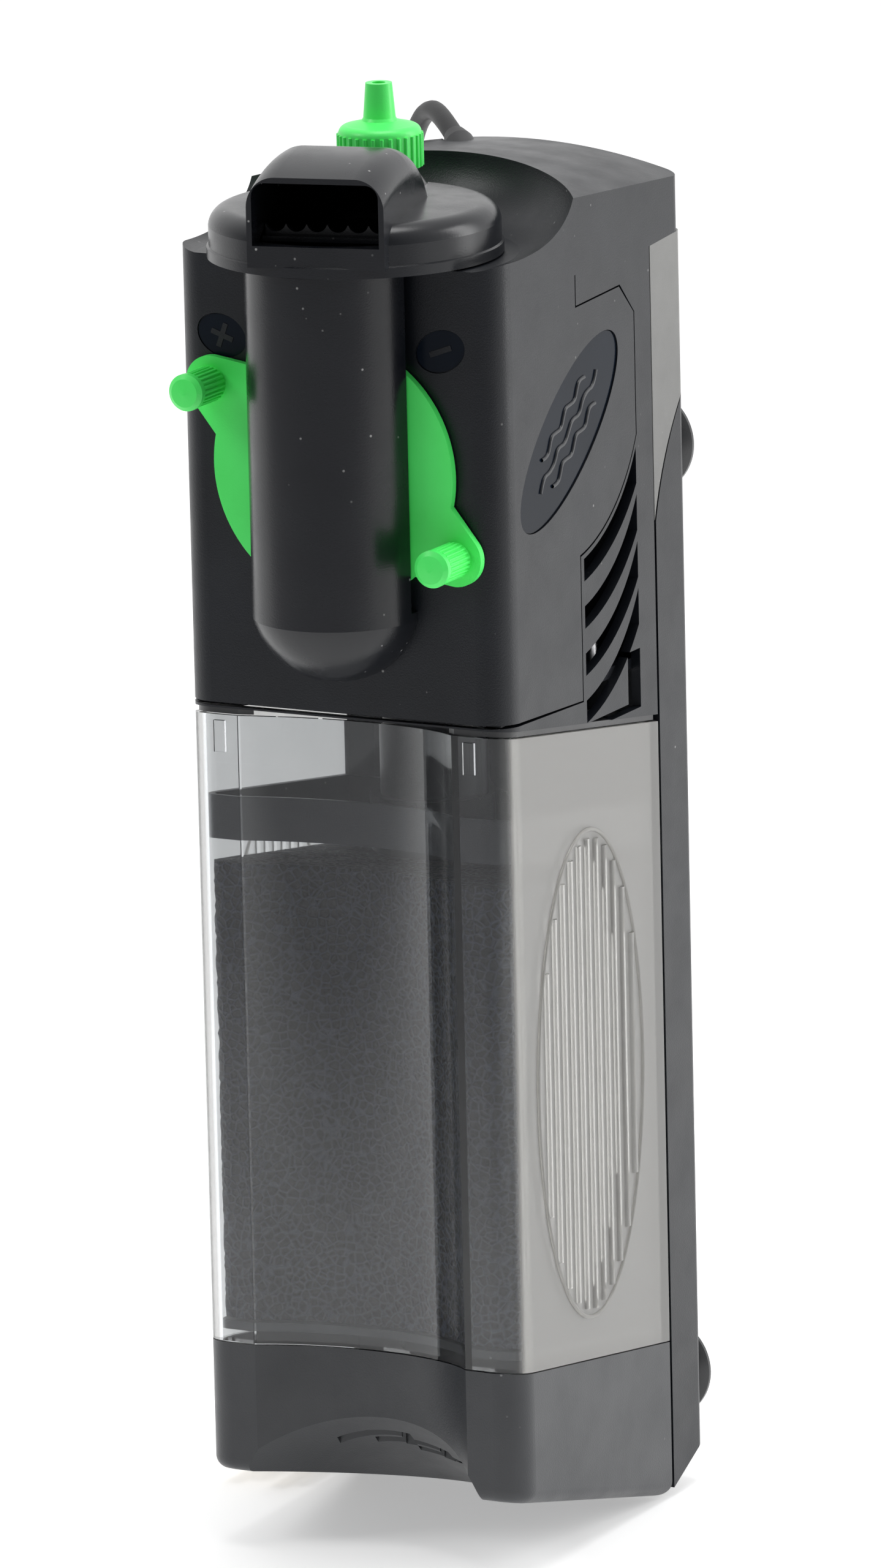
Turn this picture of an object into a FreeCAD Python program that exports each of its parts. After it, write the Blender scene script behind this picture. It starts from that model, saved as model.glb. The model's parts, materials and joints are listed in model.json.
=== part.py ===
"""Internal power filter for aquariums and small ponds, as a parametric FreeCAD document.

Millimetres, +Z up.  The front faces -Y.  The origin is the centre of the four suction cups, on the
plane of the glass that they hold.  The pump head (lid, front cover, rear casing and the motor in
them) stands on a clear filter container, which ends in an intake cup.  All of that slides down into
a holder, which stays on the glass behind it.
"""
import FreeCAD
import Part
import math
import os
import Sketcher

Vector = FreeCAD.Vector
Rotation = FreeCAD.Rotation
Placement = FreeCAD.Placement
doc = FreeCAD.newDocument("power_filter")

# ------------------------------------------------------------------ driving dimensions
SIZES = {
    # outer body, seen from above
    "body_width": 80.0, "front_y": -100.0, "seam_y": -25.0, "back_y": -8.0,
    "corner_radius": 7.0, "wall": 2.2, "seam_gap": 0.4,
    # heights, at the front, above the centre of the suction cups
    "lid_z": 164.0, "skirt_z": 158.3, "head_z": 63.0, "cup_joint_z": -83.0, "foot_z": -113.0,
    "joint_drop": 11.5, "foot_drop": 18.4, "gasket": 1.6,
    # side of the head
    "step_y": -62.0, "tab_z": 151.0, "cover_back_y": -33.3, "cover_low_z": 117.2,
    "cover_arc_z": 95.3, "cover_arc": 40.4, "louvre_pitch": 10.7,
    "badge_y": -66.0, "badge_z": 124.0, "badge_long": 29.0, "badge_short": 11.0, "badge_tilt": 36.0,
    # lid
    "crown_z": 179.5, "crown_radius": 140.0, "crown_tilt": 4.0,
    "bowl_floor_z": 165.3, "bowl_flat": 36.0, "bowl_radius": 49.0, "bowl_arc": 15.0,
    # nozzle and air cap
    "nozzle_y": -89.0, "nozzle_z": 165.7, "nozzle_radius": 32.7, "nozzle_height": 11.5,
    "nozzle_yaw": 12.0, "hood_width": 31.0, "hood_front": 22.0, "hood_crest": 25.0,
    "window_width": 28.6, "window_low": 6.8, "window_high": 20.5, "neck_radius": 13.0,
    "cap_offset": 22.0, "cap_low": 15.2, "cap_radius": 9.2, "cap_height": 9.4, "nipple_height": 9.3,
    "nipple_foot": 3.7, "nipple_tip": 2.95, "nipple_bore": 1.5, "rib_radius": 0.45,
    # outlet tube and flow dial
    "tube_y": -101.0, "tube_radius": 19.0, "tube_low_z": 72.0, "tube_dome": 19.6,
    "dial_z": 119.2, "dial_radius": 29.5, "dial_thick": 1.8, "dial_front_y": -102.3,
    "knob_ring": 34.6, "knob_radius": 3.75, "knob_length": 13.0, "lug_radius": 6.2,
    "knob_angle": 30.4, "port_radius": 4.5, "port_offset": 10.0, "pivot_radius": 1.5,
    # pump
    "pump_y": -57.0, "well_radius": 11.0, "well_low_z": 88.0, "well_high_z": 132.0,
    "magnet_radius": 9.2, "magnet_length": 32.0, "shaft_radius": 1.5, "running_gap": 0.06,
    "impeller_radius": 15.0, "chamber_radius": 19.0, "chamber_z": 66.0,
    # container and intake cup
    "recess_radius": 35.3, "recess_depth": 12.0, "scoop_radius": 34.0, "scoop_angle": 35.0,
    "scoop_z": -92.0, "sponge_high_z": 28.0, "sponge_low_z": -78.0,
    # holder
    "holder_front_y": -24.0, "holder_top_z": 124.0, "holder_side_z": 95.5, "holder_low_z": -129.5,
    "holder_heel_z": -122.0, "holder_arc": 67.0, "rail_half": 10.0, "cup_x": 26.0, "cup_z": 108.5,
    "cup_radius": 12.0, "cup_neck": 2.4,
    # cord
    "cord_radius": 2.25, "coil_radius": 25.0, "coil_section": 6.75,
}

sheet = doc.addObject("Spreadsheet::Sheet", "Sizes")
for row, (alias, value) in enumerate(SIZES.items(), start=1):
    sheet.set(f"A{row}", alias)
    sheet.set(f"B{row}", str(value))
    sheet.setAlias(f"B{row}", alias)
doc.recompute()


class Dim:
    """A number that also carries its expression, so that a shape can be bound to the sheet."""

    def __init__(self, value, text=None):
        self.value = float(value)
        self.text = repr(self.value) if text is None else text

    def __add__(self, other):
        other = dim(other)
        return Dim(self.value + other.value, f"({self.text} + {other.text})")

    def __sub__(self, other):
        other = dim(other)
        return Dim(self.value - other.value, f"({self.text} - {other.text})")

    def __mul__(self, other):
        other = dim(other)
        return Dim(self.value * other.value, f"({self.text} * {other.text})")

    def __truediv__(self, other):
        other = dim(other)
        return Dim(self.value / other.value, f"({self.text} / {other.text})")

    def __radd__(self, other):
        return dim(other) + self

    def __rsub__(self, other):
        return dim(other) - self

    def __rmul__(self, other):
        return dim(other) * self

    def __neg__(self):
        return Dim(-self.value, f"(-{self.text})")


def dim(number):
    return number if isinstance(number, Dim) else Dim(number)


class Cells:
    """The sheet's cells as Dims: cells.wall is the wall's thickness."""

    def __getattr__(self, alias):
        return Dim(getattr(sheet, alias), "Sizes." + alias)


cells = Cells()
WALL = cells.wall
HALF = cells.body_width / 2
FRONT = cells.front_y
SEAM = cells.seam_y
BACK = cells.back_y

# ------------------------------------------------------------------ helpers
pieces = {}


def piece(label, item):
    """Name a sub-part: its label is its node's name."""
    item.Label = label
    pieces[label] = item
    return item


def bind(item, **properties):
    """Bind properties to the sheet; x, y and z stand for the placement's base."""
    names = {"x": "Placement.Base.x", "y": "Placement.Base.y", "z": "Placement.Base.z"}
    for name, number in properties.items():
        item.setExpression(names.get(name, name), dim(number).text)
    return item


def put(item, at, rotation=None):
    """Place an item at a point of three Dims, turned by an optional rotation."""
    at = [dim(c) for c in at]
    item.Placement = Placement(Vector(*[c.value for c in at]), rotation or Rotation())
    return bind(item, x=at[0], y=at[1], z=at[2])


def box(name, low, high):
    """A box between two corners."""
    item = doc.addObject("Part::Box", name)
    length, width, height = (dim(b) - dim(a) for a, b in zip(low, high))
    bind(item, Length=length, Width=width, Height=height)
    return put(item, low)


def wide_box(name, half_width, low_y, high_y, low_z, high_z):
    """A box that is centred on x = 0."""
    return box(name, (-dim(half_width), low_y, low_z), (half_width, high_y, high_z))


TURNS = {
    "x": Rotation(Vector(0, 1, 0), 90),
    "y": Rotation(Vector(1, 0, 0), -90),
    "-y": Rotation(Vector(1, 0, 0), 90),
    "z": Rotation(),
}


def cylinder(name, radius, length, at, axis="z"):
    item = doc.addObject("Part::Cylinder", name)
    bind(item, Radius=radius, Height=length)
    return put(item, at, TURNS[axis] if isinstance(axis, str) else axis)


def cone(name, low_radius, high_radius, length, at, rotation=None):
    item = doc.addObject("Part::Cone", name)
    bind(item, Radius1=low_radius, Radius2=high_radius, Height=length)
    return put(item, at, rotation)


def fuse(name, *shapes):
    item = doc.addObject("Part::MultiFuse", name)
    item.Shapes = list(shapes)
    item.Refine = True
    return item


def common(name, *shapes):
    item = doc.addObject("Part::MultiCommon", name)
    item.Shapes = list(shapes)
    return item


def cut(name, base, *tools):
    item = doc.addObject("Part::Cut", name)
    item.Base = base
    item.Tool = tools[0] if len(tools) == 1 else fuse(name + "_tools", *tools)
    item.Refine = True
    return item


def fillet(name, base, radius, wanted):
    """Round the edges of base for which wanted(edge) is true."""
    doc.recompute()
    item = doc.addObject("Part::Fillet", name)
    item.Base = base
    chosen = [n for n, edge in enumerate(base.Shape.Edges, start=1) if wanted(edge)]
    item.Edges = [(n, dim(radius).value, dim(radius).value) for n in chosen]
    return item


def along(edge, direction):
    """Whether an edge is straight and runs along a direction."""
    ends = [v.Point for v in edge.Vertexes]
    return len(ends) == 2 and (ends[1] - ends[0]).cross(Vector(*direction)).Length < 1e-6


def upright_at(low_y, high_y):
    """A test for the upright edges between two y values."""
    def test(edge):
        return along(edge, (0, 0, 1)) and low_y < edge.CenterOfMass.y < high_y
    return test


def bulged(start, end, radius, side):
    """The arc from start to end that bulges to the left (side 1) or the right (side -1)."""
    chord = end - start
    rise = radius - math.sqrt(radius ** 2 - (chord.Length / 2) ** 2)
    left = Vector(-chord.y, chord.x, 0).normalize()
    return Part.Arc(start, start + chord * 0.5 + left * (rise * side), end)


def outline(body, role, corners, arcs=None):
    """A closed sketch through corners, with each corner and each arc's radius bound to the sheet.
    arcs maps a side's index to its radius and its bulge's side."""
    arcs = arcs or {}
    sketch = body.newObject("Sketcher::SketchObject", body.Name + "_outline")
    plane = next(f for f in body.Origin.OriginFeatures if f.Role == role)
    sketch.AttachmentSupport = (plane, [""])
    sketch.MapMode = "FlatFace"
    corners = [(dim(a), dim(b)) for a, b in corners]
    points = [Vector(a.value, b.value, 0) for a, b in corners]
    for side, start in enumerate(points):
        end = points[(side + 1) % len(points)]
        if side in arcs:
            radius, bulge = arcs[side]
            sketch.addGeometry(bulged(start, end, dim(radius).value, bulge), False)
        else:
            sketch.addGeometry(Part.LineSegment(start, end), False)
    # an arc through three points may run backwards, so its ends are told apart by place
    def end_at(side, point):
        return 1 if sketch.getPoint(side, 1).distanceToPoint(point) < 1e-6 else 2

    for side, start in enumerate(points):
        before = (side - 1) % len(points)
        sketch.addConstraint(
            Sketcher.Constraint("Coincident", before, end_at(before, start), side, end_at(side, start))
        )
    for side, (start, (across, up)) in enumerate(zip(points, corners)):
        for kind, number in (("DistanceX", across), ("DistanceY", up)):
            index = sketch.addConstraint(
                Sketcher.Constraint(kind, -1, 1, side, end_at(side, start), number.value)
            )
            if number.text != repr(number.value):
                sketch.setExpression(f"Constraints[{index}]", number.text)
    for side, (radius, bulge) in arcs.items():
        index = sketch.addConstraint(Sketcher.Constraint("Radius", side, dim(radius).value))
        sketch.setExpression(f"Constraints[{index}]", dim(radius).text)
    return sketch


def side_prism(name, half_width, corners, arcs=None):
    """A body with a side view of (y, z) corners, centred on x = 0."""
    body = doc.addObject("PartDesign::Body", name)
    sketch = outline(body, "YZ_Plane", corners, arcs)
    pad = body.newObject("PartDesign::Pad", name + "_pad")
    pad.Profile = sketch
    pad.SideType = "Symmetric"
    bind(pad, Length=dim(half_width) * 2)
    sketch.Visibility = False
    return body


def turned(name, corners, arcs=None):
    """A body of revolution about its own z axis, from a half section of (radius, z) corners."""
    body = doc.addObject("PartDesign::Body", name)
    sketch = outline(body, "XZ_Plane", corners, arcs)
    spin = body.newObject("PartDesign::Revolution", name + "_turn")
    spin.Profile = sketch
    spin.ReferenceAxis = (sketch, ["V_Axis"])
    spin.Angle = 360
    return body


def ribbed(body, radius, rib_radius, low, length, count):
    """Fine upright ribs around a body of revolution."""
    name = body.Name
    sketch = body.newObject("Sketcher::SketchObject", name + "_rib_outline")
    plane = next(f for f in body.Origin.OriginFeatures if f.Role == "XY_Plane")
    sketch.AttachmentSupport = (plane, [""])
    sketch.MapMode = "FlatFace"
    sketch.AttachmentOffset = Placement(Vector(0, 0, dim(low).value), Rotation())
    centre = Vector(dim(radius).value, 0, 0)
    sketch.addGeometry(Part.Circle(centre, Vector(0, 0, 1), dim(rib_radius).value), False)
    sketch.addConstraint(Sketcher.Constraint("PointOnObject", 0, 3, -1))
    ring = sketch.addConstraint(Sketcher.Constraint("DistanceX", -1, 1, 0, 3, centre.x))
    sketch.setExpression(f"Constraints[{ring}]", dim(radius).text)
    thick = sketch.addConstraint(Sketcher.Constraint("Radius", 0, dim(rib_radius).value))
    sketch.setExpression(f"Constraints[{thick}]", dim(rib_radius).text)
    rib = body.newObject("PartDesign::Pad", name + "_rib")
    rib.Profile = sketch
    bind(rib, Length=length)
    pattern = body.newObject("PartDesign::PolarPattern", name + "_ribs")
    pattern.Originals = [rib]
    pattern.Axis = (next(f for f in body.Origin.OriginFeatures if f.Role == "Z_Axis"), [""])
    pattern.Angle = 360
    pattern.Occurrences = count
    body.Tip = pattern
    return body


def ellipse_block(name, long_half, short_half, tilt, at, depth, facing):
    """A solid ellipse that goes from a point inwards; facing is "front", "right" or "left"."""
    ring = doc.addObject("Part::Ellipse", name + "_ring")
    bind(ring, MajorRadius=long_half, MinorRadius=short_half)
    turns = {
        "front": Rotation(Vector(1, 0, 0), 90),
        "right": Rotation(Vector(0, 0, 1), 90) * Rotation(Vector(1, 0, 0), 90),
        "left": Rotation(Vector(0, 0, 1), 90) * Rotation(Vector(1, 0, 0), 90),
    }
    inward = {"front": (0, 1, 0), "right": (-1, 0, 0), "left": (1, 0, 0)}[facing]
    put(ring, at, turns[facing] * Rotation(Vector(0, 0, 1), dim(tilt).value))
    item = doc.addObject("Part::Extrusion", name)
    item.Base = ring
    item.DirMode = "Custom"
    item.Dir = Vector(*inward)
    item.Solid = True
    bind(item, LengthFwd=depth)
    return item


# ------------------------------------------------------------------ the head's outer shells
def slope_z(front_z, drop, y):
    """The height of a joint at a depth: the joints slope down to the rear."""
    return front_z - drop * (y - FRONT) / (SEAM - FRONT)


def cover_corners(grow):
    """The front cover's side view, grown by a gap behind and below for the casing's edge."""
    back = cells.cover_back_y + grow
    step = cells.step_y + grow
    top = cells.lid_z + 10 if grow else cells.lid_z
    front = FRONT - 10 if grow else FRONT
    return [
        (front, top), (step, top), (step, cells.tab_z + grow),
        (back - 7, cells.tab_z + 0.9 + grow), (back, cells.tab_z - 6), (back, cells.cover_low_z),
        (step, cells.cover_arc_z - grow), (step, cells.head_z - 0.6 - grow),
        (front, cells.head_z + 1.2 - grow),
    ]


def oval_sign(name, x, z, tilt):
    """A recess for a flow sign."""
    return ellipse_block(name, 6.2, 4.7, tilt, (x, FRONT - 0.01, z), 0.5, "front")


def sign_bar(name, x, z, tilt):
    """A raised bar of a flow sign, in its recess."""
    bar = doc.addObject("Part::Box", name)
    bind(bar, Length=5.6, Width=0.4, Height=1.2)
    turn = Rotation(Vector(0, 1, 0), -tilt)
    corner = turn.multVec(Vector(-2.8, 0, -0.6))
    return put(bar, (x + corner.x, FRONT + 0.15, z + corner.z), turn)


def front_cover():
    outer = side_prism("cover_side", HALF, cover_corners(0), {5: (cells.cover_arc, 1)})
    rounded = fillet("cover_rounded", outer, cells.corner_radius, upright_at(-100.1, -99.9))
    hollow = wide_box("cover_hollow", HALF - WALL, FRONT + WALL, 0, 20, 190)
    port = cylinder("cover_port", cells.port_radius, 9, (0, FRONT - 3, cells.dial_z + cells.port_offset),
                    "y")
    pivot = cylinder("cover_pivot", cells.pivot_radius, 9, (0, FRONT - 3, cells.dial_z), "y")
    notch = wide_box("cover_notch", 15, FRONT - 1, FRONT + 5, cells.tab_z, 190)
    badges = [
        ellipse_block(f"cover_badge_{side}", cells.badge_long + 0.2, cells.badge_short + 0.2,
                      cells.badge_tilt, (sign * (HALF + 0.01), cells.badge_y, cells.badge_z), 1.16, side)
        for side, sign in (("right", 1), ("left", -1))
    ]
    plus_x, minus_x, sign_z, tilt = -28, 26, cells.lid_z - 16.8, 20
    shell = cut("cover_shell", rounded, hollow, port, pivot, notch, *badges,
                oval_sign("plus_recess", plus_x, sign_z, -tilt),
                oval_sign("minus_recess", minus_x, sign_z, tilt))
    bars = [
        sign_bar("plus_bar", plus_x, sign_z, -tilt), sign_bar("plus_post", plus_x, sign_z, 90 - tilt),
        sign_bar("minus_bar", minus_x, sign_z, tilt),
    ]
    piece("front_cover", fuse("front_cover_body", shell, *bars))


def side_badges():
    for side, sign in (("right", 1), ("left", -1)):
        badge = ellipse_block(f"badge_{side}", cells.badge_long, cells.badge_short, cells.badge_tilt,
                              (sign * (HALF - 0.35), cells.badge_y, cells.badge_z), 0.8, side)
        piece(f"side_badge_{side}", badge)


def louvre(index):
    """One curved slot through both sides: what lies between two arcs."""
    drop = cells.louvre_pitch * index
    centre_y = FRONT + 30.2
    wide = HALF * 2 + 10
    low = cylinder(f"louvre_low_{index}", 45.4, wide, (-HALF - 5, centre_y, cells.lid_z - 30.6 - drop), "x")
    high = cylinder(f"louvre_high_{index}", 41.5, wide, (-HALF - 5, centre_y, cells.lid_z - 29.5 - drop),
                    "x")
    ring = cut(f"louvre_ring_{index}", low, high)
    frame = wide_box(f"louvre_frame_{index}", HALF + 4, FRONT + 39.8, cells.cover_back_y - 0.2,
                     cells.lid_z - 90 - drop, cells.lid_z - 40 - drop)
    return common(f"louvre_{index}", ring, frame)


def rear_casing():
    tall = [(FRONT, cells.head_z), (FRONT, cells.skirt_z), (SEAM, cells.skirt_z),
            (SEAM, cells.head_z - cells.joint_drop)]
    outer = side_prism("casing_side", HALF, tall)
    rounded = fillet("casing_rounded", outer, cells.corner_radius, upright_at(-100.1, -99.9))
    shadow = side_prism("cover_shadow", HALF + 5, cover_corners(cells.seam_gap), {5: (cells.cover_arc, 1)})
    hollow = wide_box("casing_hollow", HALF - WALL, FRONT + WALL, SEAM - WALL, 20, 190)
    slots = [louvre(index) for index in range(4)]
    window = wide_box("casing_window", HALF + 5, FRONT + 60.5, cells.cover_back_y, cells.lid_z - 109,
                      cells.lid_z - 95.5)
    sill = wide_box("casing_sill", HALF + 5, FRONT + 40, cells.cover_back_y, cells.lid_z - 109,
                    cells.lid_z - 107.2)
    piece("rear_casing", cut("rear_casing_body", rounded, shadow, hollow, window, sill, *slots))


def rear_cover():
    front, low = SEAM + cells.seam_gap, cells.holder_side_z + 0.4
    corners = [(front, low), (front, cells.skirt_z), (BACK, cells.skirt_z + 1.2),
               (BACK, cells.holder_top_z + 0.4)]
    outer = side_prism("rear_cover_side", HALF, corners, {3: (cells.holder_arc, -1)})
    rounded = fillet("rear_cover_rounded", outer, 3, upright_at(-8.1, -7.9))
    hollow = wide_box("rear_cover_hollow", HALF - WALL, front - 1, BACK - WALL, 60, 190)
    piece("rear_cover", cut("rear_cover_body", rounded, hollow))


# ------------------------------------------------------------------ lid
def bowl(name, grow):
    """The round dish that the nozzle stands in."""
    floor, rim = cells.bowl_floor_z - grow, cells.crown_z - 1
    dish = turned(name, [(0, floor), (cells.bowl_flat + grow, floor), (cells.bowl_radius + grow, rim),
                         (cells.bowl_radius + grow + 2, 200), (0, 200)], {1: (cells.bowl_arc, -1)})
    return put(dish, (0, cells.nozzle_y, 0))


def crown(name, shrink):
    """A large cylinder, lower at the rear, that gives the lid its crown."""
    radius = cells.crown_radius - shrink
    tilt = Rotation(Vector(1, 0, 0), -90 - cells.crown_tilt.value)
    return cylinder(name, radius, 170, (0, FRONT - 15, cells.crown_z - cells.crown_radius + 5.2), tilt)


def cord_axis():
    """Where the cord leaves the lid, and its direction."""
    return Vector(-8.5, -18, 174.2), Vector(-0.65, 0.68, 0.33).normalize()


def lid():
    corners = [(FRONT, cells.lid_z), (FRONT, 190), (BACK - 0.2, 190), (BACK - 0.2, cells.skirt_z + 1.2),
               (SEAM, cells.skirt_z), (cells.step_y, cells.skirt_z), (cells.step_y, cells.lid_z)]
    block = side_prism("lid_side", HALF, corners)
    front_round = fillet("lid_front_round", block, cells.corner_radius, upright_at(-100.1, -99.9))
    back_round = fillet("lid_back_round", front_round, 4, upright_at(-8.3, -8.1))
    crowned = common("lid_crowned", back_round, crown("lid_crown", 0))
    room = wide_box("lid_room", HALF - WALL, FRONT + WALL, BACK - 0.2 - WALL, 150, 190)
    inner = common("lid_inner", room, crown("lid_under_crown", WALL))
    hollow = cut("lid_hollow", inner, bowl("bowl_outside", 1.8))
    start, direction = cord_axis()
    grommet_hole = cylinder("lid_grommet_hole", 3.4, 40, tuple(start - direction * 15),
                            Rotation(Vector(0, 0, 1), direction))
    neck_hole = cylinder("lid_neck_hole", cells.neck_radius + 0.2, 30, (0, cells.nozzle_y, 150))
    tube_hole = wide_box("lid_tube_notch", 15.2, FRONT - 1, cells.nozzle_y, 150, cells.bowl_floor_z - 1)
    piece("lid", cut("lid_body", crowned, bowl("bowl", 0), hollow, grommet_hole, neck_hole, tube_hole))


def cord_gland():
    start, direction = cord_axis()
    turn = Rotation(Vector(0, 0, 1), direction)
    low = start - direction * 6
    body = cylinder("gland_body", 3.4, 12.5, tuple(low), turn)
    nose = cone("gland_nose", 3.4, 2.6, 3.5, tuple(low + direction * 12.5), turn)
    bore = cylinder("gland_bore", cells.cord_radius, 30, tuple(low - direction), turn)
    piece("cord_gland", cut("cord_gland_body", fuse("gland_solid", body, nose), bore))


# ------------------------------------------------------------------ outlet tube, dial and nozzle
def outlet_tube():
    low, top, radius = cells.tube_low_z, cells.nozzle_z - 0.4, cells.tube_radius
    knee = low + 14.8
    outer = put(turned("tube_outside", [(0, low), (radius, knee), (radius, top), (0, top)],
                       {0: (cells.tube_dome, -1)}), (0, cells.tube_y, 0))
    inner = put(turned("tube_inside", [(0, low + WALL), (radius - WALL, knee), (radius - WALL, top - WALL),
                                       (0, top - WALL)],
                       {0: (cells.tube_dome - 2, -1)}), (0, cells.tube_y, 0))
    flat = cells.dial_front_y - 0.4
    front_half = common("tube_front", outer, wide_box("tube_front_side", 25, -130, flat, 50, 190))
    bore = common("tube_bore", inner, wide_box("tube_bore_side", 25, -130, flat - WALL, 50, 190))
    foot = common("tube_foot", wide_box("tube_foot_side", 25, flat - 0.1, FRONT, 50,
                                        cells.dial_z - cells.dial_radius - 1),
                  put(turned("tube_foot_round", [(0, low), (radius, knee), (radius, top), (0, top)],
                             {0: (cells.tube_dome, -1)}), (0, cells.tube_y, 0)))
    bridge = wide_box("tube_bridge", 14.6, flat - 3, cells.nozzle_y + 14.6, cells.tab_z + 0.4,
                      cells.lid_z - 1)
    passage = wide_box("tube_passage", 14.6 - WALL, flat - 6, cells.nozzle_y + 12.4, cells.tab_z + 2,
                       cells.lid_z - 2.8)
    neck = cylinder("tube_neck", cells.neck_radius, 11, (0, cells.nozzle_y, cells.lid_z - 4.2))
    neck_bore = cylinder("tube_neck_bore", cells.neck_radius - 1.8, 20,
                         (0, cells.nozzle_y, cells.lid_z - 6.2))
    port = cylinder("tube_port", cells.port_radius, 12, (0, flat - 9, cells.dial_z + cells.port_offset),
                    "y")
    pivot = cylinder("tube_pivot", cells.pivot_radius, 8, (0, flat - 5, cells.dial_z), "y")
    solid = fuse("tube_solid", front_half, foot, bridge, neck)
    piece("outlet_tube", cut("outlet_tube_body", solid, bore, passage, neck_bore, port, pivot))


def dial_knob(name, angle):
    """A knurled knob with a smooth domed tip, on the dial's ring at an angle."""
    radius, length = cells.knob_radius, cells.knob_length
    knob = turned(name, [(0, 0), (radius, 0), (radius, length - 2.6), (radius + 0.4, length - 2.6),
                         (radius + 0.4, length - 1.2), (radius - 0.6, length - 0.4), (0, length)])
    ribbed(knob, radius, 0.3, 1, length - 4, 24)
    ring = Rotation(Vector(0, 1, 0), -angle).multVec(Vector(1, 0, 0))
    at = (cells.knob_ring * ring.x, cells.dial_front_y + 0.3, cells.dial_z + cells.knob_ring * ring.z)
    return put(knob, at, TURNS["-y"])


def dial_lug(name, angle):
    """The lug that carries a knob outside the disc."""
    def polar(radius, degrees):
        turn = math.radians(degrees)
        return dim(radius) * math.cos(turn), cells.dial_z + dim(radius) * math.sin(turn)

    def beside(degrees):
        across, up = polar(cells.knob_ring, angle)
        turn = math.radians(degrees)
        return across + cells.lug_radius * math.cos(turn), up + cells.lug_radius * math.sin(turn)

    body = doc.addObject("PartDesign::Body", name)
    corners = [polar(cells.dial_radius - 1, angle + 20), beside(angle + 68), beside(angle - 68),
               polar(cells.dial_radius - 1, angle - 20), polar(20, angle)]
    sketch = outline(body, "XZ_Plane", corners)
    pad = body.newObject("PartDesign::Pad", name + "_pad")
    pad.Profile = sketch
    bind(pad, Length=cells.dial_thick)
    put(body, (0, cells.dial_front_y + cells.dial_thick, 0))
    across, up = polar(cells.knob_ring, angle)
    disc = cylinder(name + "_disc", cells.lug_radius, cells.dial_thick, (across, cells.dial_front_y, up),
                    "y")
    return [body, disc]


def flow_dial():
    at = (0, cells.dial_front_y, cells.dial_z)
    disc = cylinder("dial_disc", cells.dial_radius, cells.dial_thick, at, "y")
    parts = [disc]
    for side, angle in (("right", -cells.knob_angle.value), ("left", 180 - cells.knob_angle.value)):
        parts += dial_lug(f"dial_lug_{side}", angle)
        parts.append(dial_knob(f"dial_knob_{side}", angle))
    low_flow = math.radians(32)
    holes = [
        cylinder("dial_bore", cells.pivot_radius + cells.running_gap, 8,
                 (0, cells.dial_front_y - 2, cells.dial_z), "y"),
        cylinder("dial_port", cells.port_radius, 8,
                 (0, cells.dial_front_y - 2, cells.dial_z + cells.port_offset), "y"),
        cylinder("dial_trickle", 1.8, 8,
                 (cells.port_offset * math.cos(low_flow), cells.dial_front_y - 2,
                  cells.dial_z + cells.port_offset * math.sin(low_flow)), "y"),
    ]
    piece("flow_dial", cut("flow_dial_body", fuse("dial_solid", *parts), *holes))
    shank = cylinder("pivot_shank", cells.pivot_radius, 7.5, (0, -104.7, cells.dial_z), "y")
    head = cylinder("pivot_head", 3, 1.4, (0, FRONT + WALL, cells.dial_z), "y")
    piece("dial_pivot", fuse("dial_pivot_body", shank, head))


def on_nozzle(item, x=0, y=0, z=0):
    """Place an item in the nozzle's own frame, which is turned to one side."""
    turn = Rotation(Vector(0, 0, 1), cells.nozzle_yaw.value)
    spot = turn.multVec(Vector(x, y, z))
    item.Placement = Placement(Vector(spot.x, spot.y + cells.nozzle_y.value, spot.z + cells.nozzle_z.value),
                               turn)
    return item


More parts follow.
